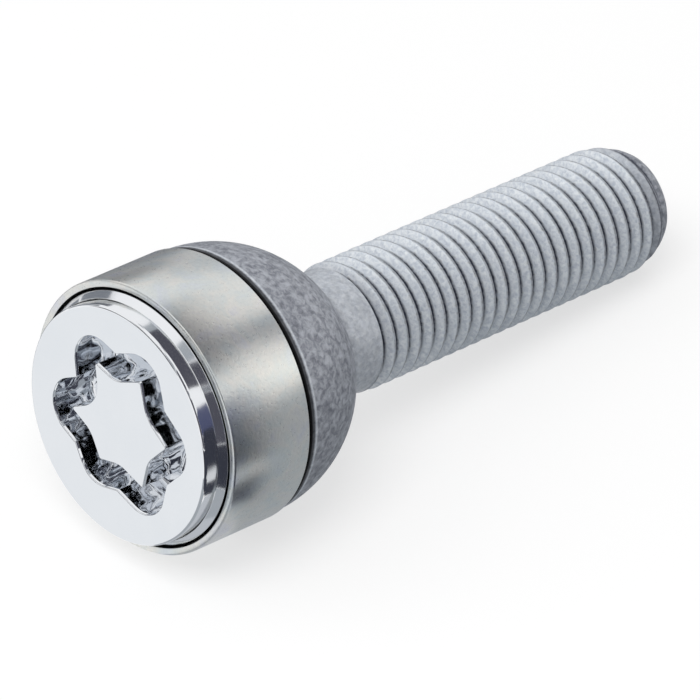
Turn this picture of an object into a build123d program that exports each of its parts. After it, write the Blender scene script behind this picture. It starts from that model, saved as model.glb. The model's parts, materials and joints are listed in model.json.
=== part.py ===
from build123d import *
from math import asin, atan2, cos, degrees, hypot, radians, sin, sqrt
import os

# A locking wheel bolt with a ball seat and a freely turning collar, lying at rest on a flat surface.
# Sizes are in millimetres and degrees. Each piece is turned about +Z, with the flat face of the head at
# zero and the thread pointing to +Z, and the whole bolt is then laid down.

# Head, from its face back to the barrel that carries the collar
face_diameter = 21.3
face_edge_chamfer = 0.2
head_wall_length = 1.45
head_wall_taper = 4.0
head_flare_length = 0.6

# Key groove, a wavy closed channel sunk in the face. Its middle line is a star with rounded corners. The reach
# of each lobe, and of the waist that follows it, is the bolt's own code, so no other key turns it.
key_lobe_reaches = (7.85, 7.55, 6.05, 8.4, 8.0, 7.75)
key_waist_reaches = (5.55, 4.85, 5.0, 4.1, 5.4, 5.45)
key_bend_radius = 1.45
key_width = 2.5
key_depth = 4.5
key_angle = -8.8

# Collar, a thin sleeve that turns on the barrel and stands a step proud of the ball seat
collar_step = 0.2
collar_wall = 0.65
collar_length = 8.65
collar_setback = 2.0
collar_edge_chamfer = 0.2
collar_clearance = 0.25
collar_end_gap = 0.35

# Retaining ring, a split spring ring that lies in the barrel and reaches into the collar
ring_width = 1.0
ring_thickness = 1.2
ring_reach = 0.25
ring_clearance = 0.1
ring_spring_room = 0.35
ring_gap_angle = 24.0

# Ball seat, which starts at the equator of its ball
seat_radius = 12.0
seat_land = 0.2
seat_edge_chamfer = 0.15

# Shank and thread
shank_diameter = 11.25
shank_length = 39.75
plain_shank_length = 2.9
thread_diameter = 11.75
thread_run_out = 0.4
point_diameter = 9.0
point_length = 4.2

# Radii
face_radius = face_diameter / 2
wall_radius = face_radius + head_wall_length * sin(radians(head_wall_taper))
collar_radius = seat_radius + collar_step
bore_radius = collar_radius - collar_wall
barrel_radius = bore_radius - collar_clearance
ring_outer_radius = bore_radius + ring_reach
ring_inner_radius = ring_outer_radius - ring_thickness
shank_radius = shank_diameter / 2
thread_radius = thread_diameter / 2
point_radius = point_diameter / 2

# Distances from the face
flare_end = head_wall_length + head_flare_length
collar_end = collar_setback + collar_length
ring_middle = collar_setback + collar_length / 2
flange_front = collar_end + collar_end_gap
ball_middle = flange_front + seat_land
seat_end = ball_middle + sqrt(seat_radius**2 - shank_radius**2)
thread_start = seat_end + plain_shank_length
tip = seat_end + shank_length
thread_end = tip - point_length

# The point is a round that starts in line with the thread
point_drop = thread_radius - point_radius
point_round = (point_length**2 + point_drop**2) / (2 * point_drop)


def corners(section, *places):
    """The corners of a half section that lie nearest to the given places."""
    return [section.vertices().sort_by_distance(place)[0] for place in places]


def band(inner_radius, outer_radius, middle, width):
    """A rectangle of a half section, between two radii, centred along the bolt."""
    place = Pos((inner_radius + outer_radius) / 2, middle)
    return place * Rectangle(outer_radius - inner_radius, width)


def turned(section, angle=360.0):
    """A half section, drawn as radius and distance from the face, turned about the bolt's axis."""
    return revolve(Plane.XZ * section, Axis.Z, angle)


def bolt_section():
    """The bolt's half section: head, barrel, ball seat, shank, thread and point."""
    outline = Polyline(
        (0, tip),
        (0, 0),
        (face_radius, 0),
        (wall_radius, head_wall_length),
        (barrel_radius, flare_end),
        (barrel_radius, flange_front),
        (seat_radius, flange_front),
        (seat_radius, ball_middle),
    )
    outline += TangentArc((seat_radius, ball_middle), (shank_radius, seat_end), tangent=(0, 1))
    outline += Polyline(
        (shank_radius, seat_end),
        (shank_radius, thread_start),
        (thread_radius, thread_start + thread_run_out),
        (thread_radius, thread_end),
    )
    outline += TangentArc((thread_radius, thread_end), (point_radius, tip), tangent=(0, 1))
    outline += Line((point_radius, tip), (0, tip))
    section = make_face(outline)
    section = chamfer(corners(section, (face_radius, 0)), face_edge_chamfer)
    section = chamfer(corners(section, (seat_radius, flange_front)), seat_edge_chamfer)
    groove_floor = ring_inner_radius - ring_spring_room
    return section - band(groove_floor, barrel_radius, ring_middle, ring_width + 2 * ring_clearance)


def key_groove():
    """A channel of one width along a star whose corners are rounded, sunk from the face."""
    half_step = radians(180 / len(key_lobe_reaches))
    star_corners = []
    for lobe, (lobe_reach, waist_reach) in enumerate(zip(key_lobe_reaches, key_waist_reaches)):
        lobe_angle = radians(key_angle) + 2 * lobe * half_step
        waist_angle = lobe_angle + half_step
        star_corners.append((lobe_reach * cos(lobe_angle), lobe_reach * sin(lobe_angle)))
        star_corners.append((waist_reach * cos(waist_angle), waist_reach * sin(waist_angle)))
    star = Polygon(*star_corners, align=None)
    middle_line = fillet(star.vertices(), key_bend_radius)
    channel = offset(middle_line, key_width / 2) - offset(middle_line, -key_width / 2)
    return extrude(channel, key_depth)


def bolt_body():
    """The forged bolt, from its keyed head to its point."""
    return turned(bolt_section()) - key_groove()


def collar():
    """The sleeve round the barrel, with a groove in its bore for the retaining ring."""
    section = band(bore_radius, collar_radius, ring_middle, collar_length)
    edges = corners(section, (collar_radius, collar_setback), (collar_radius, collar_end))
    section = chamfer(edges, collar_edge_chamfer)
    groove_top = ring_outer_radius + ring_clearance
    return turned(section - band(bore_radius, groove_top, ring_middle, ring_width + 2 * ring_clearance))


def retaining_ring():
    """The split ring that keeps the collar on the barrel."""
    section = band(ring_inner_radius, ring_outer_radius, ring_middle, ring_width)
    return turned(section, 360 - ring_gap_angle)


def lean(head_distance, head_radius, head_round):
    """The slope at which the bolt lies on a round or corner of its head and on the round of its point."""
    along = thread_end - head_distance
    across = thread_radius - point_round - head_radius
    touch = asin((head_round - point_round) / hypot(along, across))
    return degrees(touch - atan2(across, along))


# The bolt lies on its point and on whichever of the collar's rear edge and the ball reaches lower
collar_lean = lean(collar_end - collar_edge_chamfer, collar_radius, 0)
ball_lean = lean(ball_middle, 0, seat_radius)
rest_angle = max(collar_lean, ball_lean)

pieces = {
    "bolt_body": bolt_body(),
    "collar": collar(),
    "retaining_ring": retaining_ring(),
}

# Laid down, the thread points to +Y, and the origin is under the middle of the whole bolt
laid = Rot(X=-90 - rest_angle)
box = Compound(children=[laid * piece for piece in pieces.values()]).bounding_box()
place = Pos(-box.center().X, -box.center().Y, -box.min.Z) * laid

os.makedirs("parts", exist_ok=True)
for name, piece in pieces.items():
    export_step(place * piece, f"parts/{name}.step")

print("length", round(tip, 3), "seat end", round(seat_end, 3), "rest angle", round(rest_angle, 3))
print("middle of the face", place.position, "middle of the tip", (place * Pos(0, 0, tip)).position)
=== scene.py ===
# %% [markdown]
# # A locking wheel bolt
#
# This lesson dresses a wheel bolt that already exists as plain solids. The bolt is one forging: a
# bright keyed head, a ball seat, a shank and a thread. A thin collar spins freely on the head, and
# a hidden split ring keeps it there. The solids have the sizes. Here the bolt gets its thread, its
# softened edges and its metal finishes, under studio light and from the photograph's angle.

# %% Load the solids
import json
from math import asin, atan2, copysign, cos, pi, radians, sin, sqrt, tan

import bmesh
import bpy
from mathutils import Matrix, Vector


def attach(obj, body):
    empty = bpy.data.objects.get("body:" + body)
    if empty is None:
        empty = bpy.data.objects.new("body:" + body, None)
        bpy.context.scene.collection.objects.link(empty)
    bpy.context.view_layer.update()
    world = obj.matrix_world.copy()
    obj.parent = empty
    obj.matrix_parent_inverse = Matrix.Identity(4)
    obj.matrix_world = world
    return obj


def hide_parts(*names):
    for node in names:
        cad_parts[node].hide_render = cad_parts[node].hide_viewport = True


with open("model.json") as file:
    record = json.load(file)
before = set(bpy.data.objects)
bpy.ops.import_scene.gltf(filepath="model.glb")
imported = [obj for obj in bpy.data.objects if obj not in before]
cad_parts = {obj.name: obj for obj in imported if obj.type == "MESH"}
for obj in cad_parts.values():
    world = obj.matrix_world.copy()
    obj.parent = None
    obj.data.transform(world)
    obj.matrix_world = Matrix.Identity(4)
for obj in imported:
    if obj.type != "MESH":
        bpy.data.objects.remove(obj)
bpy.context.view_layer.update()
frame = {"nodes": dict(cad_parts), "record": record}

# %% [markdown]
# ## The bolt's own axes
#
# The bolt lies on a table, a little nose down, so its axis is not one of the world's axes. Turned
# shapes are far easier to draw upright. So every new piece is modelled with the bolt's face at zero
# and its thread pointing up, and one matrix lays the finished mesh down where the solid lies. The
# matrix is read from the places where the bolt is fastened and gripped, which the frame's record
# gives.

# %% Find the axes
mm = 0.001
mounts = {mount["name"]: mount for mount in frame["record"]["mounts"]}
face_middle = Vector(mounts["key_groove"]["pos_m"])
along = -Vector(mounts["key_groove"]["axis"]).normalized()
across = (Vector(mounts["head_face"]["pos_m"]) - face_middle).normalized()
own_axes = Matrix((across, along.cross(across), along)).transposed()
laid = Matrix.Translation(face_middle) @ own_axes.to_4x4()
upright = laid.inverted()
print("face at", [round(c / mm, 2) for c in face_middle], "mm, axis", [round(c, 4) for c in along])

# %% [markdown]
# ## Measuring the solids
#
# A dressed piece has to sit exactly where its solid sits. Its sizes are therefore measured from the
# solids' own corners, each of which has a distance from the face and a radius. Should a size in the
# solids change, the dressed pieces follow.

# %% Measure the solids


def section(solid):
    """The distance from the face and the radius of every corner of a solid."""
    spots = [upright @ corner.co for corner in frame["nodes"][solid].data.vertices]
    return [(spot.z, spot.xy.length) for spot in spots]


def radii(solid, first=0.0, last=float("inf")):
    """The radii of a solid's corners between two distances from the face."""
    slack = 0.01 * mm
    return [radius for distance, radius in section(solid) if first - slack <= distance <= last + slack]


def ends(solid):
    """The distances from the face at which a solid starts and stops."""
    distances = [distance for distance, radius in section(solid)]
    return min(distances), max(distances)


def distance_to(name):
    """How far along the axis a mount lies from the face."""
    return (Vector(mounts[name]["pos_m"]) - face_middle).dot(along)


collar_front, collar_rear = ends("collar")
ring_front, ring_rear = ends("retaining_ring")
tip = ends("bolt_body")[1]
thread_radius = mounts["thread"]["dims"]["r_mm"] * mm
thread_length = mounts["thread"]["dims"]["length_mm"] * mm
thread_start = distance_to("thread") - thread_length / 2
thread_end = distance_to("thread") + thread_length / 2
print("collar from", round(collar_front / mm, 2), "to", round(collar_rear / mm, 2), "mm")
print("thread from", round(thread_start / mm, 2), "to", round(thread_end / mm, 2), "mm")

# %% Measure the ball seat
ball_middle = distance_to("ball_seat")
barrel_radius = max(radii("bolt_body", (collar_front + collar_rear) / 2, collar_rear))
barrel_step = 0.3 * mm
flange_front = min(
    distance for distance, radius in section("bolt_body") if radius > barrel_radius + barrel_step
)
seat_radius = max(radii("bolt_body", collar_rear))
well_behind = 0.6 * seat_radius
shank_radius = min(radii("bolt_body", ball_middle + well_behind, thread_start))
seat_end = ball_middle + sqrt(seat_radius**2 - shank_radius**2)
print("ball seat from", round(flange_front / mm, 2), "to", round(seat_end / mm, 2), "mm")

# %% [markdown]
# ## The camera
#
# A long lens flattens perspective, as in catalogue pictures of hardware. The camera is set by where
# the middle of the bolt's face lies in the picture, by how far away it is, and by the two angles of
# the view. Placing it this way needs no lens shift, so the bolt stays framed in other views too.

# %% Set up the camera
picture_width = 700
focal_pixels = 9000
film_width = 36
face_pixel = Vector((116.94, 425.96))
face_depth = 0.75198
view_azimuth = radians(46.301)
view_elevation = radians(37.873)

right = Vector((cos(view_azimuth), sin(view_azimuth), 0))
ahead = Vector((
    -sin(view_azimuth) * cos(view_elevation),
    cos(view_azimuth) * cos(view_elevation),
    -sin(view_elevation),
))
above = right.cross(ahead)
offset = (face_pixel - Vector((picture_width, picture_width)) / 2) * face_depth / focal_pixels
camera = bpy.data.objects.new("camera", bpy.data.cameras.new("camera"))
camera.data.sensor_width = film_width
camera.data.lens = focal_pixels * film_width / picture_width
camera.matrix_world = Matrix.Translation(
    face_middle - face_depth * ahead - offset.x * right + offset.y * above
) @ Matrix((right, above, -ahead)).transposed().to_4x4()
bpy.context.scene.collection.objects.link(camera)
bpy.context.scene.camera = camera
bpy.context.scene.view_settings.view_transform = "Standard"
print("lens", round(camera.data.lens, 1), "mm, camera at", [round(c, 3) for c in camera.location])

# %% [markdown]
# ## Node helpers
#
# Every light and finish is a small tree of nodes. Three helpers keep the trees short to write: one
# adds a node and sets its inputs by name, one gives an input a constant or joins it to another
# node, and one does sums.

# %% Helpers for node trees


def node(tree, kind, values=None, **settings):
    """Adds a node, sets its properties from settings and its inputs, by name, from values."""
    made = tree.nodes.new("ShaderNode" + kind)
    for name, setting in settings.items():
        setattr(made, name, setting)
    for name, value in (values or {}).items():
        made.inputs[name].default_value = value
    return made


def feed(tree, source, target):
    """Gives an input a number, a colour, an output, or a node's first output."""
    if isinstance(source, (int, float)):
        target.default_value = source
    elif isinstance(source, tuple):
        target.default_value = (*source, 1)
    else:
        tree.links.new(source.outputs[0] if hasattr(source, "outputs") else source, target)


def combine(tree, way, first, second):
    """Two values combined by a Math node, which adds, subtracts, multiplies or takes the larger."""
    made = node(tree, "Math", operation=way)
    feed(tree, first, made.inputs[0])
    feed(tree, second, made.inputs[1])
    return made


# %% [markdown]
# ## The studio
#
# Polished metal shows what stands around it more than its own colour. The room is white to the
# camera and to reflections, and plainly lit for everything else. Two soft lamps, from the left and
# from overhead, reach into the thread and shape the bolt. Reflections don't see them, because a
# lamp mirrored in chrome is a white hole. The floor is a pale sheet that keeps the bolt's shadow. A
# glow that only the camera and reflections see lifts it to white, and puts no light on the bolt.

# %% Light the room
room_light = 0.54
lamp_distance = 0.9

room = bpy.data.worlds.new("white_room")
bpy.context.scene.world = room
room.use_nodes = True
room.node_tree.nodes.clear()


def seen_or_mirrored(tree):
    """One for camera, mirror and glass rays, and zero for the rays that only carry light."""
    path = node(tree, "LightPath")
    either = combine(tree, "MAXIMUM", path.outputs["Is Camera Ray"], path.outputs["Is Glossy Ray"])
    return combine(tree, "MAXIMUM", either, path.outputs["Is Transmission Ray"])


plain = node(room.node_tree, "Background", {"Color": (1, 1, 1, 1), "Strength": room_light})
backdrop = node(room.node_tree, "Background", {"Color": (1, 1, 1, 1), "Strength": 1.0})
choice = node(room.node_tree, "MixShader")
feed(room.node_tree, seen_or_mirrored(room.node_tree), choice.inputs[0])
feed(room.node_tree, plain, choice.inputs[1])
feed(room.node_tree, backdrop, choice.inputs[2])
feed(room.node_tree, choice, node(room.node_tree, "OutputWorld").inputs["Surface"])


def softbox(name, direction, size, watts):
    """A square lamp that shines at the bolt from a direction and that reflections don't see."""
    lamp = bpy.data.objects.new(name, bpy.data.lights.new(name, "AREA"))
    lamp.data.size = size
    lamp.data.energy = watts
    lamp.visible_glossy = False
    toward = Vector(direction).normalized()
    facing = toward.to_track_quat("Z", "Y").to_matrix().to_4x4()
    lamp.matrix_world = Matrix.Translation(toward * lamp_distance) @ facing
    bpy.context.scene.collection.objects.link(lamp)


softbox("key_lamp", direction=(-0.6, -0.8, 0.9), size=0.7, watts=1.4)
softbox("overhead_lamp", direction=(0.2, -0.42, 0.88), size=0.5, watts=3.9)
print("room level", room_light, "lamps", len(bpy.data.lights))

# %% Lay the floor
floor_reach = 3.0
floor_shade = 0.36


def stage_sheet(name, width, length, material):
    """A flat sheet of the studio, centred on the origin, which isn't part of the bolt."""
    bm = bmesh.new()
    bmesh.ops.create_grid(bm, x_segments=1, y_segments=1, size=0.5)
    bmesh.ops.scale(bm, vec=(width, length, 1), verts=bm.verts)
    mesh = bpy.data.meshes.new(name)
    bm.to_mesh(mesh)
    bm.free()
    mesh.materials.append(material)
    sheet = bpy.data.objects.new(name, mesh)
    bpy.context.scene.collection.objects.link(sheet)
    return sheet


def bare_material(name):
    """A material with no nodes but its output. Returns it, its tree and the output's surface."""
    made = bpy.data.materials.new(name)
    made.use_nodes = True
    made.node_tree.nodes.clear()
    return made, made.node_tree, node(made.node_tree, "OutputMaterial").inputs["Surface"]


paper, tree, surface = bare_material("white_paper")
matt = node(tree, "BsdfDiffuse", {"Color": (floor_shade, floor_shade, floor_shade, 1)})
glow = node(tree, "Emission", {"Color": (1, 1, 1, 1)})
lift = combine(tree, "MULTIPLY", seen_or_mirrored(tree), 1 - floor_shade)
feed(tree, lift, glow.inputs["Strength"])
both = node(tree, "AddShader")
feed(tree, matt, both.inputs[0])
feed(tree, glow, both.inputs[1])
feed(tree, both, surface)
stage_sheet("floor", floor_reach, floor_reach, paper)
print("floor", floor_reach, "m wide")

# %% [markdown]
# ## Cards for the reflections
#
# A photographer hangs black and grey cards round a chromed thing, and its reflections show them as
# dark bands. Painting the bands on the metal would be simpler, but they would stay put when the
# view moves. Here the cards are sheets that only reflections see, so they take no light from the
# bolt. Two angles place those round the head: how far up round the bolt a card hangs, counted from
# its right side, and how far it lies away from the direction of the tip. The collar mirrors cards
# less than about 50 degrees away from the tip, the wall of the head those from 50 to 75, and its
# flare those from about 85 on. The two side flags also reach over the round edge between wall and
# flare. The other cards lie on the floor, where the face and the lower half of the head mirror
# them.

# %% Helpers for cards
card_distance = 300 * mm
card_lift = 0.2 * mm


def card(name, width, length, shade):
    """A sheet of one shade that only reflections see."""
    dye, tree, surface = bare_material(name)
    feed(tree, node(tree, "Emission", {"Color": (*shade, 1), "Strength": 1.0}), surface)
    sheet = stage_sheet(name, width, length, dye)
    sheet.visible_camera = False
    sheet.visible_diffuse = False
    sheet.visible_transmission = False
    sheet.visible_volume_scatter = False
    sheet.visible_shadow = False
    return sheet


def hang(name, around, off_axis, shade):
    """A card that fills two ranges of degrees, seen from the face: round the bolt, and away from its tip."""
    middle_around, middle_off = (radians(sum(span) / 2) for span in (around, off_axis))
    half_around, half_off = (radians((span[1] - span[0]) / 2) for span in (around, off_axis))
    toward = Vector((
        sin(middle_off) * cos(middle_around), cos(middle_off), sin(middle_off) * sin(middle_around)
    ))
    level = Vector((-sin(middle_around), 0, cos(middle_around)))
    width = 2 * card_distance * sin(middle_off) * tan(half_around)
    sheet = card(name, width, 2 * card_distance * tan(half_off), shade)
    facing = Matrix((level, level.cross(toward), -toward)).transposed().to_4x4()
    sheet.matrix_world = Matrix.Translation(face_middle + toward * card_distance) @ facing


def lay(name, layer, corner, width, length, shade, lean=0.0):
    """A card over the floor, in a layer. It reaches on from a corner, in mm, and leans by degrees."""
    sheet = card(name, width * mm, length * mm, shade)
    turned = Matrix.Rotation(radians(lean), 4, "Z")
    raised = Matrix.Translation((corner[0] * mm, corner[1] * mm, layer * card_lift))
    sheet.matrix_world = raised @ turned @ Matrix.Translation((width * mm / 2, length * mm / 2, 0))


def count_cards(start=""):
    """How many cards there are so far whose names have this start."""
    sheets = [sheet for sheet in bpy.data.objects if sheet.type == "MESH" and not sheet.visible_camera]
    return sum(sheet.name.startswith(start) for sheet in sheets)


# %% Hang the cards for the wall of the head
black = (0.042, 0.045, 0.06)
charcoal = (0.085, 0.085, 0.105)
navy = (0.085, 0.095, 0.17)
soot = (0.13, 0.14, 0.16)
grey = (0.40, 0.425, 0.45)
hang("upper_flag", (47, 108), (50, 76), charcoal)
hang("upper_flag_edge", (108, 117), (49, 76), grey)
hang("side_flag", (8, 26), (54, 106), navy)
hang("side_flag_low", (-12, 8), (54, 106), black)
hang("left_flag", (161, 192), (50, 75), soot)
print("cards for the wall", count_cards())

# %% Hang the cards for the collar
dusk = (0.22, 0.235, 0.26)
slate = (0.30, 0.32, 0.36)
pale = (0.55, 0.57, 0.60)
warm_light = (1.35, 1.33, 1.27)
hang("upper_card", (50, 78), (20, 49), slate)
hang("side_card", (-16, 4), (26, 54), dusk)
hang("left_card", (140, 192), (20, 50), pale)
hang("collar_light", (11, 33), (30, 51), warm_light)
print("cards with those for the collar", count_cards())

# %% Hang the cards for the flare and the key groove
hang("left_flag_front", (155, 184), (84, 102), dusk)
hang("front_flag", (-6, 44), (108, 150), charcoal)
hang("front_flag_gap", (44, 50), (108, 150), dusk)
hang("front_flag_upper", (50, 70), (108, 150), charcoal)
hang("front_flag_edge", (70, 88), (112, 150), grey)
hang("front_strip_one", (94, 106), (129, 165), charcoal)
hang("front_strip_two", (118, 140), (127, 165), black)
hang("front_strip_three", (152, 176), (118, 165), black)
print("cards round the head", count_cards())

# %% Lay cards on the floor
bright_spot = (0.72, 0.73, 0.74)
off_white = (0.93, 0.945, 0.955)
lay("floor_card", 1, (4, -32), 14.5, 9, pale)
lay("floor_card_rear", 1, (4, -23), 14.5, 83, grey)
lay("floor_card_front", 1, (4, -60), 20, 28, grey)
lay("floor_card_left", 1, (-160, -28), 146, 110, dusk)
lay("floor_card_face", 1, (-70, -110), 74, 78, off_white)
lay("floor_card_side", 2, (16, -20.5), 200, 90, grey, lean=32)
lay("floor_flag_front", 3, (24, -160), 280, 128, black)
lay("floor_flag", 4, (92.3, -142.6), 300, 144, black, lean=32)
lay("floor_spot", 5, (26, -26), 9, 14, bright_spot)
print("cards on the floor", count_cards("floor"))

# %% [markdown]
# ## Shared effects
#
# The zinc flake changes along the bolt, and the chrome is not the same on face, wall and groove. A
# shader node group works out the distance from the face and the radius, from Object coordinates
# that a Mapping node has turned upright, so that both finishes can use it. A second group gives a
# blotchy pattern of any size, which every finish here needs at its own scale.

# %% Node group: place on the bolt


def new_group(name, inputs, outputs):
    """A shader node group with named sockets, and its input and output nodes."""
    group = bpy.data.node_groups.new(name, "ShaderNodeTree")
    for socket, kind in inputs.items():
        group.interface.new_socket(socket, in_out="INPUT", socket_type="NodeSocket" + kind)
    for socket, kind in outputs.items():
        group.interface.new_socket(socket, in_out="OUTPUT", socket_type="NodeSocket" + kind)
    return group, group.nodes.new("NodeGroupInput"), group.nodes.new("NodeGroupOutput")


place_group, given, result = new_group(
    "place on the bolt", {"Vector": "Vector"}, {"Radius": "Float", "Distance": "Float"}
)
parts = node(place_group, "SeparateXYZ")
flat = node(place_group, "CombineXYZ")
reach = node(place_group, "VectorMath", operation="LENGTH")
feed(place_group, given.outputs["Vector"], parts.inputs[0])
feed(place_group, parts.outputs["X"], flat.inputs["X"])
feed(place_group, parts.outputs["Y"], flat.inputs["Y"])
feed(place_group, flat, reach.inputs[0])
feed(place_group, reach.outputs["Value"], result.inputs["Radius"])
feed(place_group, parts.outputs["Z"], result.inputs["Distance"])
print("group for place", [socket.name for socket in result.inputs if socket.name])

# %% Node group: blotches
noise_middle = 0.5

blotch_group, given, result = new_group(
    "blotches", {"Vector": "Vector", "Grain": "Float", "Softness": "Float"}, {"Value": "Float"}
)
coarse = node(blotch_group, "TexNoise", {"Detail": 5.0, "Roughness": 0.62, "Distortion": 0.4})
low = combine(blotch_group, "SUBTRACT", noise_middle, given.outputs["Softness"])
high = combine(blotch_group, "ADD", noise_middle, given.outputs["Softness"])
spread = node(blotch_group, "MapRange", {"To Min": 0.0, "To Max": 1.0}, interpolation_type="SMOOTHSTEP")
feed(blotch_group, given.outputs["Vector"], coarse.inputs["Vector"])
feed(blotch_group, given.outputs["Grain"], coarse.inputs["Scale"])
feed(blotch_group, coarse, spread.inputs["Value"])
feed(blotch_group, low, spread.inputs["From Min"])
feed(blotch_group, high, spread.inputs["From Max"])
feed(blotch_group, spread, result.inputs["Value"])
print("groups", [group.name for group in bpy.data.node_groups])

# %% [markdown]
# ## How every finish starts
#
# All four finishes are one metal shader with patterns on its colour, gloss and bumps. The patterns
# are ramps and mixes over the shared groups, so short helpers for those steps let each finish be
# read like a recipe.

# %% Helpers for finishes


def new_finish(name):
    """A material with one metal shader, and upright coordinates that follow the bolt."""
    finish, tree, surface = bare_material(name)
    metal = node(tree, "BsdfPrincipled", {"Metallic": 1.0})
    feed(tree, metal, surface)
    lifted = {"Location": upright.translation, "Rotation": upright.to_euler("XYZ")}
    turned = node(tree, "Mapping", lifted, vector_type="POINT")
    feed(tree, node(tree, "TexCoord").outputs["Object"], turned.inputs["Vector"])
    return finish, tree, metal, turned


def use_group(tree, group, turned, values=None):
    """Places a node group in a material and gives it the upright coordinates."""
    made = node(tree, "Group", values, node_tree=group)
    feed(tree, turned, made.inputs["Vector"])
    return made


def ramp(tree, source, stops):
    """A colour ramp over a value. Each stop is a place from 0 to 1 and a colour."""
    made = node(tree, "ValToRGB")
    while len(made.color_ramp.elements) < len(stops):
        made.color_ramp.elements.new(0.5)
    for element, (place, colour) in zip(made.color_ramp.elements, stops):
        element.position = place
        element.color = (*colour, 1)
    feed(tree, source, made.inputs["Fac"])
    return made


def mask(tree, source, stops):
    """A mask over a value. Each stop is a place from 0 to 1 and how strong the mask is there."""
    return ramp(tree, source, [(place, (strength, strength, strength)) for place, strength in stops])


def spread_value(tree, source, from_low, from_high, to_low, to_high):
    """Maps a value from one range to another, and stops at its ends."""
    made = node(tree, "MapRange", {
        "From Min": from_low, "From Max": from_high, "To Min": to_low, "To Max": to_high
    })
    feed(tree, source, made.inputs["Value"])
    return made


def mix_colours(tree, share, first, second, way="MIX"):
    """Two colours mixed. The share goes from the first, at zero, to the second or to their mix."""
    made = node(tree, "Mix", data_type="RGBA", blend_type=way)
    colours = [socket for socket in made.inputs if socket.type == "RGBA"]
    feed(tree, share, made.inputs["Factor"])
    feed(tree, first, colours[0])
    feed(tree, second, colours[1])
    return next(socket for socket in made.outputs if socket.type == "RGBA")


def bump(tree, height, depth):
    """Normals that lean as if the height stood up by a depth."""
    made = node(tree, "Bump", {"Strength": 1.0, "Distance": depth})
    feed(tree, height, made.inputs["Height"])
    return made


# %% [markdown]
# ## Chrome on the head
#
# The face, the key groove and the wall of the head are polished and chromed. Chrome is nearly a
# mirror with a slightly cold tint. What tells it from a perfect mirror are faint wipe marks, which
# change its gloss. Only the face is buffed flat. The wall keeps a light haze and a trace of
# waviness. No buff reaches into the groove, so its walls stay wavy from the forging and break up
# what they mirror. A bump gives the waves. Haze and waves fade out at the level of the face, and
# the radius tells the groove from the wall.

# %% Chrome finish
groove_reach = 10.0 * mm
groove_fade = 0.3 * mm
buffed_depth = 0.1 * mm
wiped_roughness = (0.03, 0.06)
wave_height = 0.2 * mm
wall_share = 0.35
groove_haze = 0.015
wall_haze = 0.075

chrome, tree, metal, turned = new_finish("head_chrome")
wipes = use_group(tree, blotch_group, turned, {"Grain": 160.0, "Softness": 0.3})
tint = ramp(tree, wipes, [(0.0, (0.80, 0.82, 0.85)), (1.0, (0.83, 0.845, 0.87))])
feed(tree, tint, metal.inputs["Base Color"])
wiped = spread_value(tree, wipes, 0, 1, *wiped_roughness)
place = use_group(tree, place_group, turned)
waves = node(tree, "TexNoise", {"Scale": 460.0, "Detail": 0.6, "Roughness": 0.4})
feed(tree, turned, waves.inputs["Vector"])
below = spread_value(tree, place.outputs["Distance"], buffed_depth, groove_fade, 0, 1)
groove_edge = groove_reach - groove_fade
hazy = spread_value(tree, place.outputs["Radius"], groove_edge, groove_reach, groove_haze, wall_haze)
rough = combine(tree, "ADD", wiped, combine(tree, "MULTIPLY", below, hazy))
feed(tree, rough, metal.inputs["Roughness"])
wavy = spread_value(tree, place.outputs["Radius"], groove_edge, groove_reach, 1, wall_share)
unbuffed = combine(tree, "MULTIPLY", combine(tree, "MULTIPLY", wavy, below), waves)
feed(tree, bump(tree, unbuffed, wave_height), metal.inputs["Normal"])
print("chrome waves", wave_height / mm, "mm high in the groove,", wall_share, "of that on the wall")

# %% [markdown]
# ## Zinc flake on the seat, shank and thread
#
# The rest of the bolt is dipped in a zinc flake paint and baked. It dries to a matte light grey
# with a cold tint. On the ball seat the dip gathers and dries in darker blotches, the shank is
# between the two tones, and the point is scuffed as dark as the seat. So two speckled tones are
# mixed by distance from the face. In the thread, shade is painted into the colour: dark in the
# roots and, more softly, behind the crests. The mesh carries this painted shade as an attribute
# named root_shade, and the fine specks fray its edges, as they do on a rough coat.

# %% Tones of the zinc flake
blend_start = seat_end - 0.5 * mm
blend_end = seat_end + 5.0 * mm
scuff_start = tip - 3.0 * mm
scuff_end = tip - 1.5 * mm
# The next colour is painted shade for the thread's roots and the backs of its crests.
painted_shade_colour = (0.05, 0.055, 0.08)
flake_metallic = 0.5
fray = 0.5
fray_from = 0.5
fray_to = 1.2

zinc_flake, tree, metal, turned = new_finish("bolt_zinc")
metal.inputs["Metallic"].default_value = flake_metallic
place = use_group(tree, place_group, turned)
specks = use_group(tree, blotch_group, turned, {"Grain": 2600.0, "Softness": 0.3})
blotches = use_group(tree, blotch_group, turned, {"Grain": 1700.0, "Softness": 0.22})
thread_tone = ramp(tree, specks, [(0.0, (0.57, 0.62, 0.695)), (1.0, (0.95, 0.98, 1.0))])
seat_tone = ramp(tree, blotches, [(0.0, (0.19, 0.20, 0.235)), (1.0, (0.51, 0.53, 0.58))])
along_shank = spread_value(tree, place.outputs["Distance"], blend_start, blend_end, 0, 1)
past_seat = mask(tree, along_shank, [(0.0, 0.0), (0.25, 0.5), (0.7, 0.52), (1.0, 1.0)])
scuffed = spread_value(tree, place.outputs["Distance"], scuff_start, scuff_end, 0, 1)
clean = combine(tree, "SUBTRACT", past_seat, scuffed)
tone = mix_colours(tree, clean, seat_tone, thread_tone)
# The vertex layer read here holds painted shade for the thread, and the mix below darkens the colour by it.
in_root = node(tree, "Attribute", attribute_name="root_shade").outputs["Fac"]
frayed = combine(tree, "ADD", in_root, combine(tree, "MULTIPLY", specks, fray))
shaded = mix_colours(tree, spread_value(tree, frayed, fray_from, fray_to, 0, 1), tone, painted_shade_colour)
print("seat tone ends", round(blend_end / mm, 2), "mm from the face")
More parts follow.
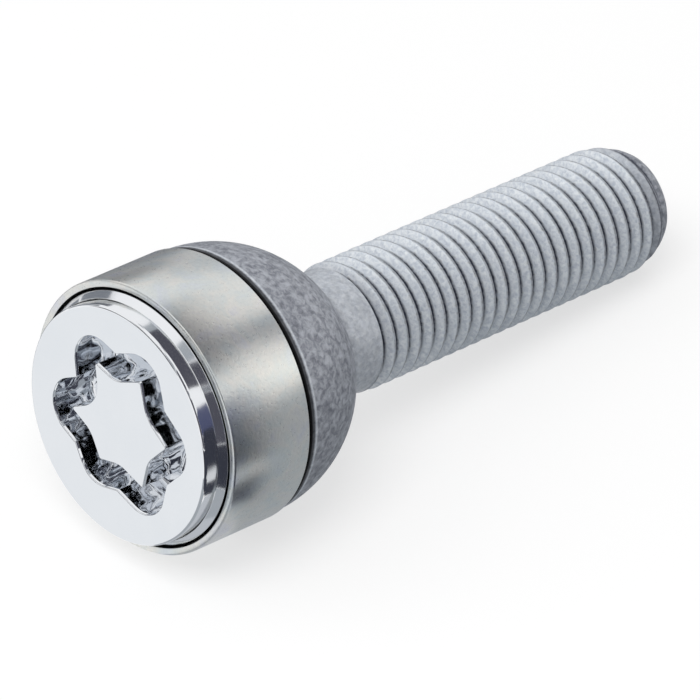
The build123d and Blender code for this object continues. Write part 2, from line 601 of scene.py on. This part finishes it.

# %% [markdown]
# ## The gap behind the collar
#
# Between the collar and the ball seat is a narrow gap that never sees light. The front of the
# flange gets painted shade there, which thins out over the rounded edge, and just behind it a thin
# painted highlight lies on the seat. Both are narrow bands by distance from the face, so two masks
# over the same short stretch draw them.

# %% Gap and gloss of the zinc flake
rim_width = 1.0 * mm
# The next colour is painted shade for the gap behind the collar.
painted_gap_shade_colour = (0.004, 0.004, 0.005)
flake_roughness = (0.58, 0.46)
flake_height = 0.02 * mm

along_rim = spread_value(tree, place.outputs["Distance"], flange_front, flange_front + rim_width, 0, 1)
# Painted highlight: a thin bright line on the seat just behind the gap.
painted_rim_highlight = mask(tree, along_rim, [(0.48, 0.0), (0.58, 0.65), (0.68, 0.65), (0.82, 0.0)])
# Painted shade: the flange front in the gap and its rounded edge go near black.
painted_gap_shade = mask(tree, along_rim, [(0.13, 1.0), (0.2, 0.82), (0.38, 0.76), (0.52, 0.0)])
rimmed = mix_colours(tree, painted_rim_highlight, shaded, thread_tone)
feed(tree, mix_colours(tree, painted_gap_shade, rimmed, painted_gap_shade_colour), metal.inputs["Base Color"])
feed(tree, spread_value(tree, specks, 0, 1, *flake_roughness), metal.inputs["Roughness"])
feed(tree, bump(tree, specks, flake_height), metal.inputs["Normal"])
# The print gives the width of the painted gap shade and the painted highlight.
print("grease and rubbed line over", round(rim_width / mm, 2), "mm of the flange")

# %% [markdown]
# ## Satin zinc on the collar
#
# The collar is turned from tube, tumbled and zinc plated, and the last dip leaves a film so thin
# that it shows faint colours, from cream to green and blue. The tumbling leaves a fine grain that
# spreads every reflection. So the tint comes from large blotches, and small ones darken it in
# places and roughen it.

# %% Satin zinc finish
tumbled_roughness = (0.26, 0.32)
tumbled_height = 0.007 * mm

satin_zinc, tree, metal, turned = new_finish("collar_zinc")
grain = use_group(tree, blotch_group, turned, {"Grain": 3200.0, "Softness": 0.4})
film = use_group(tree, blotch_group, turned, {"Grain": 260.0, "Softness": 0.3})
tint = ramp(tree, film, [
    (0.0, (0.72, 0.735, 0.80)),
    (0.35, (0.82, 0.81, 0.77)),
    (0.65, (0.74, 0.775, 0.765)),
    (1.0, (0.71, 0.745, 0.81)),
])
speck = ramp(tree, grain, [(0.0, (0.84, 0.84, 0.85)), (1.0, (1.0, 1.0, 1.0))])
feed(tree, mix_colours(tree, 1.0, tint, speck, "MULTIPLY"), metal.inputs["Base Color"])
feed(tree, spread_value(tree, grain, 0, 1, *tumbled_roughness), metal.inputs["Roughness"])
feed(tree, bump(tree, grain, tumbled_height), metal.inputs["Normal"])
print("satin zinc grain", tumbled_height / mm, "mm high")

# %% [markdown]
# ## Spring steel on the ring
#
# The ring is wound from hardened wire and only oiled, so it stays dark and a little uneven. It
# hides in its groove, and a plain dark metal with faint blotches is enough.

# %% Spring steel finish
oiled_roughness = (0.3, 0.45)

spring_steel, tree, metal, turned = new_finish("spring_steel")
scale = use_group(tree, blotch_group, turned, {"Grain": 900.0, "Softness": 0.3})
oiled = ramp(tree, scale, [(0.0, (0.16, 0.16, 0.17)), (1.0, (0.30, 0.30, 0.31))])
feed(tree, oiled, metal.inputs["Base Color"])
feed(tree, spread_value(tree, scale, 0, 1, *oiled_roughness), metal.inputs["Roughness"])
print("finishes", [finish.name for finish in (chrome, zinc_flake, satin_zinc, spring_steel)])

# %% [markdown]
# ## Turned shapes
#
# A lathe makes most of this bolt, and Blender's lathe is the spin operator. Each turned piece
# starts as a chain of edges: half of its section, drawn as radius and distance from the face.
# Bevelling a chain's corner before the spin rounds the whole edge of the finished piece.

# %% Helpers for turned shapes
turn_steps = 240
merge_distance = 0.001 * mm


def chain(bm, spots):
    """Edges through spots of a half section, each a radius and a distance. Returns their corners."""
    corners = [bm.verts.new((radius, 0, distance)) for radius, distance in spots]
    for first, second in zip(corners, corners[1:]):
        bm.edges.new((first, second))
    return corners


def soften(bm, corner, size, steps=4):
    """Rounds a corner of a chain. The round starts this far from the corner."""
    bmesh.ops.bevel(
        bm, geom=[corner], offset=size, offset_type="OFFSET", affect="VERTICES",
        segments=steps, profile=0.5, material=-1, clamp_overlap=True,
    )


def arc(bm, start, middle, angle, steps):
    """Carries a chain on round a middle in the half section. Returns the arc's last corner."""
    swung = bmesh.ops.spin(
        bm, geom=[start], cent=(middle[0], 0, middle[1]), axis=(0, 1, 0), dvec=(0, 0, 0),
        angle=angle, steps=steps,
    )
    return swung["geom_last"][0]


def lathe(bm):
    """Turns everything in the mesh once round the bolt's axis."""
    bmesh.ops.spin(
        bm, geom=bm.verts[:] + bm.edges[:], cent=(0, 0, 0), axis=(0, 0, 1), dvec=(0, 0, 0),
        angle=2 * pi, steps=turn_steps, use_merge=True,
    )
    bmesh.ops.remove_doubles(bm, verts=bm.verts[:], dist=merge_distance)


def rim(bm, distance):
    """The open edges that lie at a distance from the face."""
    return [
        edge for edge in bm.edges
        if edge.is_boundary and all(abs(corner.co.z - distance) < merge_distance for corner in edge.verts)
    ]


# %% [markdown]
# ## Head, ball seat and shank
#
# One chain runs from the edge of the face, down the head's wall and flare, along the barrel with
# its groove for the ring, round the ball seat and out along the plain shank. Its radii and most of
# its distances come from the solid. A forging has no sharp edges, so those that show get the small
# round that the die or the turning tool would leave.

# %% Draw the head, seat and shank
face_edge_round = 0.22 * mm
wall_edge_round = 0.05 * mm
flange_edge_round = 0.18 * mm
seat_root_round = 0.4 * mm
head_wall_length = 1.45 * mm
head_flare_length = 0.6 * mm
ring_groove_clearance = 0.1 * mm
ring_spring_room = 0.35 * mm
flat_margin = 0.5 * mm
ball_steps = 30

face_radius = max(radii("bolt_body", 0, 2 * face_edge_round))
wall_radius = max(radii("bolt_body", head_wall_length, head_wall_length))
ring_floor = min(radii("retaining_ring")) - ring_spring_room
ring_near = ring_front - ring_groove_clearance
ring_far = ring_rear + ring_groove_clearance

bolt = bmesh.new()
_, face_edge, wall_edge, flare_edge, *_, flange_edge, ball_start = chain(bolt, [
    (face_radius - flat_margin, 0),
    (face_radius, 0),
    (wall_radius, head_wall_length),
    (barrel_radius, head_wall_length + head_flare_length),
    (barrel_radius, ring_near),
    (ring_floor, ring_near),
    (ring_floor, ring_far),
    (barrel_radius, ring_far),
    (barrel_radius, flange_front),
    (seat_radius, flange_front),
    (seat_radius, ball_middle),
])
ball_angle = asin((seat_end - ball_middle) / seat_radius)
ball_end = arc(bolt, ball_start, (0, ball_middle), -ball_angle, ball_steps)
shank_end = bolt.verts.new((shank_radius, 0, thread_start))
bolt.edges.new((ball_end, shank_end))
soften(bolt, face_edge, face_edge_round)
soften(bolt, wall_edge, wall_edge_round)
soften(bolt, flare_edge, wall_edge_round)
soften(bolt, flange_edge, flange_edge_round)
soften(bolt, ball_end, seat_root_round)
print("half section of", len(bolt.edges), "edges, face radius", round(face_radius / mm, 3), "mm")

# %% [markdown]
# ## The point
#
# The end of the bolt is rounded off so that it finds its hole. Its round is one arc from the
# thread's outside to the flat tip. The thread runs out over most of it, so only the last stretch is
# turned here, with the rest of the half section, and the flat tip is filled after the spin.

# %% Draw the point and turn the bolt
point_edge_round = 0.2 * mm
cap_length = 0.6 * mm
cap_steps = 6

point_radius = max(radii("bolt_body", tip, tip))
point_drop = thread_radius - point_radius
point_round = ((tip - thread_end) ** 2 + point_drop**2) / (2 * point_drop)
point_middle = (thread_radius - point_round, thread_end)


def point_reach(distance):
    """The radius of the rounded point at a distance from the face."""
    past = max(distance - thread_end, 0)
    return point_middle[0] + sqrt(point_round**2 - past**2)


cap_start = tip - cap_length
cap_corner = bolt.verts.new((point_reach(cap_start), 0, cap_start))
cap_angle = asin((tip - thread_end) / point_round) - asin((cap_start - thread_end) / point_round)
cap_edge = arc(bolt, cap_corner, point_middle, -cap_angle, cap_steps)
cap_flat = bolt.verts.new((point_radius - flat_margin, 0, tip))
bolt.edges.new((cap_edge, cap_flat))
soften(bolt, cap_edge, point_edge_round)
lathe(bolt)
bmesh.ops.edgeloop_fill(bolt, edges=rim(bolt, tip))
print("turned", len(bolt.faces), "faces, point radius", round(point_radius / mm, 2), "mm")

# %% [markdown]
# ## The key groove
#
# A wavy channel in the face takes the key. Its middle line is a star with rounded corners, and how
# far each corner reaches is the bolt's code. In the workshop a small cutter follows that line. The
# mesh is made the same way: the channel's section is swung round the middle of each bend and pushed
# straight on to the next one.

# %% Lay out the star
key_lobe_reaches = (7.85, 7.55, 6.05, 8.4, 8.0, 7.75)
key_waist_reaches = (5.55, 4.85, 5.0, 4.1, 5.4, 5.45)
key_angle = radians(-8.8)
key_bend_radius = 1.45 * mm

half_step = pi / len(key_lobe_reaches)
star = []
for lobe, reaches in enumerate(zip(key_lobe_reaches, key_waist_reaches)):
    for half, reach in enumerate(reaches):
        angle = key_angle + (2 * lobe + half) * half_step
        star.append(Matrix.Rotation(angle, 3, "Z") @ Vector((reach * mm, 0, 0)))


def way_from(corner):
    """The direction from a corner of the star to the next one."""
    corner %= len(star)
    return (star[(corner + 1) % len(star)] - star[corner]).normalized()


def turn_at(corner):
    """How far the middle line turns at a corner, above zero for a turn to the left."""
    way_in, way_out = way_from(corner - 1), way_from(corner)
    return atan2(way_in.cross(way_out).z, way_in.dot(way_out))


def run_at(corner):
    """How far before a corner its bend starts, which is also how far after it the bend ends."""
    return key_bend_radius * tan(abs(turn_at(corner)) / 2)


sharpest = max(abs(turn_at(corner)) for corner in range(len(star)))
print("star of", len(star), "corners, sharpest turn", round(sharpest, 2), "radians")

# %% Draw the section of the groove
key_width = 2.5 * mm
key_depth = 4.5 * mm
key_mouth_round = 0.1 * mm
key_floor_round = 0.5 * mm
key_margin = 0.14 * mm

groove = bmesh.new()
_, *bends, _ = chain(groove, [
    (key_width / 2 + key_margin, 0),
    (key_width / 2, 0),
    (key_width / 2, key_depth),
    (-key_width / 2, key_depth),
    (-key_width / 2, 0),
    (-key_width / 2 - key_margin, 0),
])
for corner, size in zip(bends, (key_mouth_round, key_floor_round, key_floor_round, key_mouth_round)):
    soften(groove, corner, size)
way_in = way_from(-1)
outward = Vector((way_in.y, -way_in.x, 0))
at_start = Matrix((outward, way_in, (0, 0, 1))).transposed().to_4x4()
at_start.translation = star[0] - way_in * run_at(0)
bmesh.ops.transform(groove, matrix=at_start, verts=groove.verts[:])
print("section of", len(groove.edges), "edges")

# %% Sweep the section along the star
bend_step = radians(6)
fewest_steps = 2


def corners_of(parts):
    """The corners among the parts that an operator gives back."""
    return [part for part in parts if isinstance(part, bmesh.types.BMVert)]


def edges_of(parts):
    """The edges among the parts that an operator gives back."""
    return [part for part in parts if isinstance(part, bmesh.types.BMEdge)]


def swing(bm, edges, middle, angle):
    """Swings a section about an upright axis through a middle. Returns the section's last place."""
    steps = max(fewest_steps, round(abs(angle) / bend_step))
    swung = bmesh.ops.spin(
        bm, geom=edges, cent=middle, axis=(0, 0, 1), dvec=(0, 0, 0), angle=angle, steps=steps
    )
    return edges_of(swung["geom_last"])


def push(bm, edges, move):
    """Pushes a section straight on. Returns the section's last place."""
    pushed = bmesh.ops.extrude_edge_only(bm, edges=edges)["geom"]
    far_corners = set(corners_of(pushed))
    bmesh.ops.translate(bm, vec=move, verts=list(far_corners))
    return [edge for edge in edges_of(pushed) if far_corners.issuperset(edge.verts)]


moving = groove.edges[:]
for corner, spot in enumerate(star):
    way_in, turn = way_from(corner - 1), turn_at(corner)
    to_middle = Vector((-way_in.y, way_in.x, 0)) * copysign(key_bend_radius, turn)
    moving = swing(groove, moving, spot - way_in * run_at(corner) + to_middle, turn)
    straight = (star[(corner + 1) % len(star)] - spot).length - run_at(corner) - run_at(corner + 1)
    moving = push(groove, moving, way_from(corner) * straight)
bmesh.ops.remove_doubles(groove, verts=groove.verts[:], dist=merge_distance)
print("groove", len(groove.faces), "faces")

# %% [markdown]
# ## The island and the face
#
# Inside the groove stands an island, level with the face. Both are flat, so they need no drawing:
# filling the groove's inner rim makes the island, and filling between its outer rim and the edge of
# the head makes the face.

# %% Fill the island and join the face


def round_the_island(edge):
    """True for an open edge whose channel lies on its far side from the axis."""
    middle = (edge.verts[0].co + edge.verts[1].co) / 2
    return (edge.link_faces[0].calc_center_median() - middle).dot(middle) > 0


def add_to_bolt(bm):
    """Moves everything in a mesh into the bolt's mesh."""
    carried = bpy.data.meshes.new("carried")
    bm.to_mesh(carried)
    bm.free()
    bolt.from_mesh(carried)
    bpy.data.meshes.remove(carried)


island = [edge for edge in rim(groove, 0) if round_the_island(edge)]
island_edges = len(island)
bmesh.ops.triangle_fill(groove, edges=island, use_beauty=True, use_dissolve=False, normal=(0, 0, -1))
add_to_bolt(groove)
bmesh.ops.triangle_fill(bolt, edges=rim(bolt, 0), use_beauty=True, use_dissolve=False, normal=(0, 0, -1))
print("island of", island_edges, "edges, open edges at the face", len(rim(bolt, 0)))

# %% [markdown]
# ## The thread
#
# The thread is a standard metric one, rolled into the shank: nominally twelve millimetres across
# with a pitch of one and a half. One pitch of its section is spun once round while it climbs, which
# is what spin's dvec is for, and copies of that turn are stacked. The turns touch along their
# edges, so merging doubles closes the helix. Planes then cut its two ends square. Rolling leaves
# the crests rounder on the side where the metal is pushed to.

# %% Draw one pitch of the thread
thread_pitch = 1.5 * mm
thread_depth = 0.86 * mm
crest_flat = 0.33 * mm
crest_near_round = (0.07 * mm, 2)
crest_far_round = (0.23 * mm, 5)
root_round = (0.09 * mm, 2)
flank_lean = radians(30)
flank_cuts = 2
first_root = 26.13 * mm
spare_turns = 2

flank = thread_depth * tan(flank_lean)
root_half = (thread_pitch - crest_flat) / 2 - flank
root_radius = thread_radius - thread_depth
turns_before = int((first_root - thread_start) / thread_pitch) + spare_turns
helix_start = first_root - turns_before * thread_pitch

thread = bmesh.new()
_, *bends, _ = chain(thread, [
    (root_radius, helix_start),
    (root_radius, helix_start + root_half),
    (thread_radius, helix_start + root_half + flank),
    (thread_radius, helix_start + root_half + flank + crest_flat),
    (root_radius, helix_start + thread_pitch - root_half),
    (root_radius, helix_start + thread_pitch),
])
for corner, (size, steps) in zip(bends, (root_round, crest_near_round, crest_far_round, root_round)):
    soften(thread, corner, size, steps)
flanks = [edge for edge in thread.edges if abs(edge.verts[0].co.x - edge.verts[1].co.x) > thread_depth / 2]
bmesh.ops.subdivide_edges(thread, edges=flanks, cuts=flank_cuts)
print("one pitch of", len(thread.edges), "edges, root radius", round(root_radius / mm, 2), "mm")

# %% Spin the thread
steps_per_turn = 120
thread_gap = 0.2 * mm
cut_slack = merge_distance / 10

bmesh.ops.spin(
    thread, geom=thread.verts[:] + thread.edges[:], cent=(0, 0, 0), axis=(0, 0, 1),
    dvec=(0, 0, thread_pitch / steps_per_turn), angle=2 * pi, steps=steps_per_turn,
)
one_turn = thread.verts[:] + thread.edges[:] + thread.faces[:]
turns = int((tip - helix_start) / thread_pitch) + spare_turns
for climb in range(1, turns):
    copied = bmesh.ops.duplicate(thread, geom=one_turn)["geom"]
    bmesh.ops.translate(thread, vec=(0, 0, climb * thread_pitch), verts=corners_of(copied))
bmesh.ops.remove_doubles(thread, verts=thread.verts[:], dist=merge_distance)


def cut(bm, distance, keep_far):
    """Cuts a mesh square to the axis and keeps its far or its near side."""
    bmesh.ops.bisect_plane(
        bm, geom=bm.verts[:] + bm.edges[:] + bm.faces[:], dist=cut_slack,
        plane_co=(0, 0, distance), plane_no=(0, 0, 1), clear_inner=keep_far, clear_outer=not keep_far,
    )


fade_start = thread_start + thread_gap
fade_end = cap_start - thread_gap
cut(thread, fade_start, True)
cut(thread, fade_end, False)
print("thread", turns, "turns before the cut,", len(thread.faces), "faces after it")

# %% [markdown]
# ## Where the thread begins and ends
#
# A rolled thread doesn't stop like a cut pipe. At the shank it rises out of the plain blank within
# about half a pitch, and at the point it sinks into the rounded end. Both are moves of the thread's
# corners towards or away from the axis, so the helix stays whole, and short bands of faces bridge
# its ends to the turned parts.

# %% Fade the thread in and out
run_in = 0.7 * mm
run_out_haste = 2.6


def eased(share):
    """Goes from zero to one with soft ends."""
    share = min(max(share, 0), 1)
    return share * share * (3 - 2 * share)


def grown_at(distance):
    """How far the thread has risen out of the blank at a distance from the face, from zero to one."""
    return eased((distance - fade_start) / run_in)


def left_at(distance):
    """How much of the thread's depth is left towards the point, from one to zero."""
    return eased(run_out_haste * (fade_end - distance) / (fade_end - thread_end))


for corner in thread.verts:
    radius = corner.co.xy.length
    risen = shank_radius + (radius - shank_radius) * grown_at(corner.co.z)
    sunk = point_reach(corner.co.z) - (thread_radius - risen) * left_at(corner.co.z)
    corner.co.xy *= sunk / radius

add_to_bolt(thread)
bmesh.ops.bridge_loops(bolt, edges=rim(bolt, thread_start) + rim(bolt, fade_start))
bmesh.ops.bridge_loops(bolt, edges=rim(bolt, fade_end) + rim(bolt, cap_start))
bmesh.ops.recalc_face_normals(bolt, faces=bolt.faces[:])
print("open edges", sum(edge.is_boundary for edge in bolt.edges))

# %% [markdown]
# ## Shade in the thread
#
# The roots of the thread get painted shade, and so, more softly, does the far side of each crest,
# most of all towards the point. Both follow the helix, which no pattern in space does. So each
# corner of the thread stores how much painted shade it gets in a vertex layer, by its place within
# one pitch, and the zinc flake reads that layer.

# %% Store the shade of the thread
# Where painted shade falls within one pitch: in the roots, and behind each crest, more towards the point.
light_from = 0.13
light_to = 0.2
crest_end = 0.5 + crest_flat / (2 * thread_pitch)
crest_dark_from = crest_end - 0.31
crest_dark_full = crest_end - 0.09
crest_dark_to = crest_end + 0.1
crest_dark_share = 0.63
tip_dark_share = 0.9
shade_haste = 2.5


def thread_shade(spot):
    """How much painted shade a place on the thread gets, from zero to one: full in the roots, less behind
    the crests.
    """
    climb = spot.z - first_root - thread_pitch * atan2(spot.y, spot.x) / (2 * pi)
    phase = climb / thread_pitch % 1
    in_root = eased((light_to - min(phase, 1 - phase)) / (light_to - light_from))
    rising = eased((phase - crest_dark_from) / (crest_dark_full - crest_dark_from))
    falling = eased((crest_dark_to - phase) / (crest_dark_to - crest_end))
    to_tip = eased((spot.z - thread_end) / thread_pitch)
    share = crest_dark_share + (tip_dark_share - crest_dark_share) * to_tip
    dark = max(in_root, share * min(rising, falling))
    return dark * eased(shade_haste * grown_at(spot.z)) * eased(shade_haste * left_at(spot.z))


root_shade = bolt.verts.layers.float.new("root_shade")
threaded = [corner for corner in bolt.verts if fade_start < corner.co.z < fade_end]
for corner in threaded:
    corner[root_shade] = thread_shade(corner.co)
print("shade on", len(threaded), "corners")

# %% [markdown]
# ## Handing over the bolt
#
# The head is chrome up to where the collar covers it, and down to the bottom of the key groove. All
# the rest is zinc flake. Each face gets its finish by where its middle lies. The finished mesh is
# laid down on its solid and replaces it. Flat faces square to the axis keep flat shading, and
# smooth shading stops at real edges.

# %% Finish the bolt
chrome_overlap = 0.4 * mm
chrome_end = collar_front + chrome_overlap
sharp_angle = radians(33)
square_to_axis = 0.9999


def is_chrome(face):
    """True for the head's wall, face and key groove."""
    middle = face.calc_center_median()
    in_groove = middle.xy.length < face_radius - flat_margin and middle.z < key_depth + merge_distance
    return middle.z < chrome_end or in_groove


def finish_mesh(bm, name, materials):
    """Lays a finished mesh down on the solids and makes it an object."""
    mesh = bpy.data.meshes.new(name)
    bm.to_mesh(mesh)
    bm.free()
    mesh.transform(laid)
    for material in materials:
        mesh.materials.append(material)
    mesh.set_sharp_from_angle(angle=sharp_angle)
    piece = bpy.data.objects.new(name, mesh)
    bpy.context.scene.collection.objects.link(piece)
    return piece


for face in bolt.faces:
    face.normal_update()
    face.material_index = 0 if is_chrome(face) else 1
    face.smooth = abs(face.normal.z) < square_to_axis
bolt_piece = finish_mesh(bolt, "keyed_bolt", [chrome, zinc_flake])
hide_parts("bolt_body")
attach(bolt_piece, "bolt")
print("bolt", len(bolt_piece.data.polygons), "faces")

# %% [markdown]
# ## The collar
#
# The collar is a short sleeve, turned from tube, that spins on the head so that pliers find no
# hold. Inside it has a groove for the ring. Its half section is a closed chain, and one spin makes
# the whole sleeve. The front edge is rounded most, because it is what the tumbling and the key
# reach.

# %% Turn the collar
collar_front_round = 0.2 * mm
collar_rear_round = 0.1 * mm
collar_bore_round = 0.1 * mm

collar_radius = max(radii("collar"))
bore_radius = min(radii("collar"))
ring_top = max(radii("retaining_ring")) + ring_groove_clearance

collar = bmesh.new()
front_edge, rear_edge, rear_bore_edge, *_, front_bore_edge = chain(collar, [
    (collar_radius, collar_front),
    (collar_radius, collar_rear),
    (bore_radius, collar_rear),
    (bore_radius, ring_far),
    (ring_top, ring_far),
    (ring_top, ring_near),
    (bore_radius, ring_near),
    (bore_radius, collar_front),
])
collar.edges.new((front_bore_edge, front_edge))
soften(collar, front_edge, collar_front_round)
soften(collar, rear_edge, collar_rear_round)
for corner in (rear_bore_edge, front_bore_edge):
    soften(collar, corner, collar_bore_round)
lathe(collar)
bmesh.ops.recalc_face_normals(collar, faces=collar.faces[:])
for face in collar.faces:
    face.smooth = True
collar_piece = finish_mesh(collar, "spin_sleeve", [satin_zinc])
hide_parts("collar")
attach(collar_piece, "spin_collar")
print("collar", len(collar_piece.data.polygons), "faces")

# %% [markdown]
# ## The ring
#
# The ring that keeps the collar on sits in its groove between head and collar, where nothing of it
# shows. Its solid already has the shape of bent wire, so it only gets its finish.

# %% Finish the ring
ring = frame["nodes"]["retaining_ring"]
ring.data.materials.clear()
ring.data.materials.append(spring_steel)
print("ring", len(ring.data.polygons), "faces")
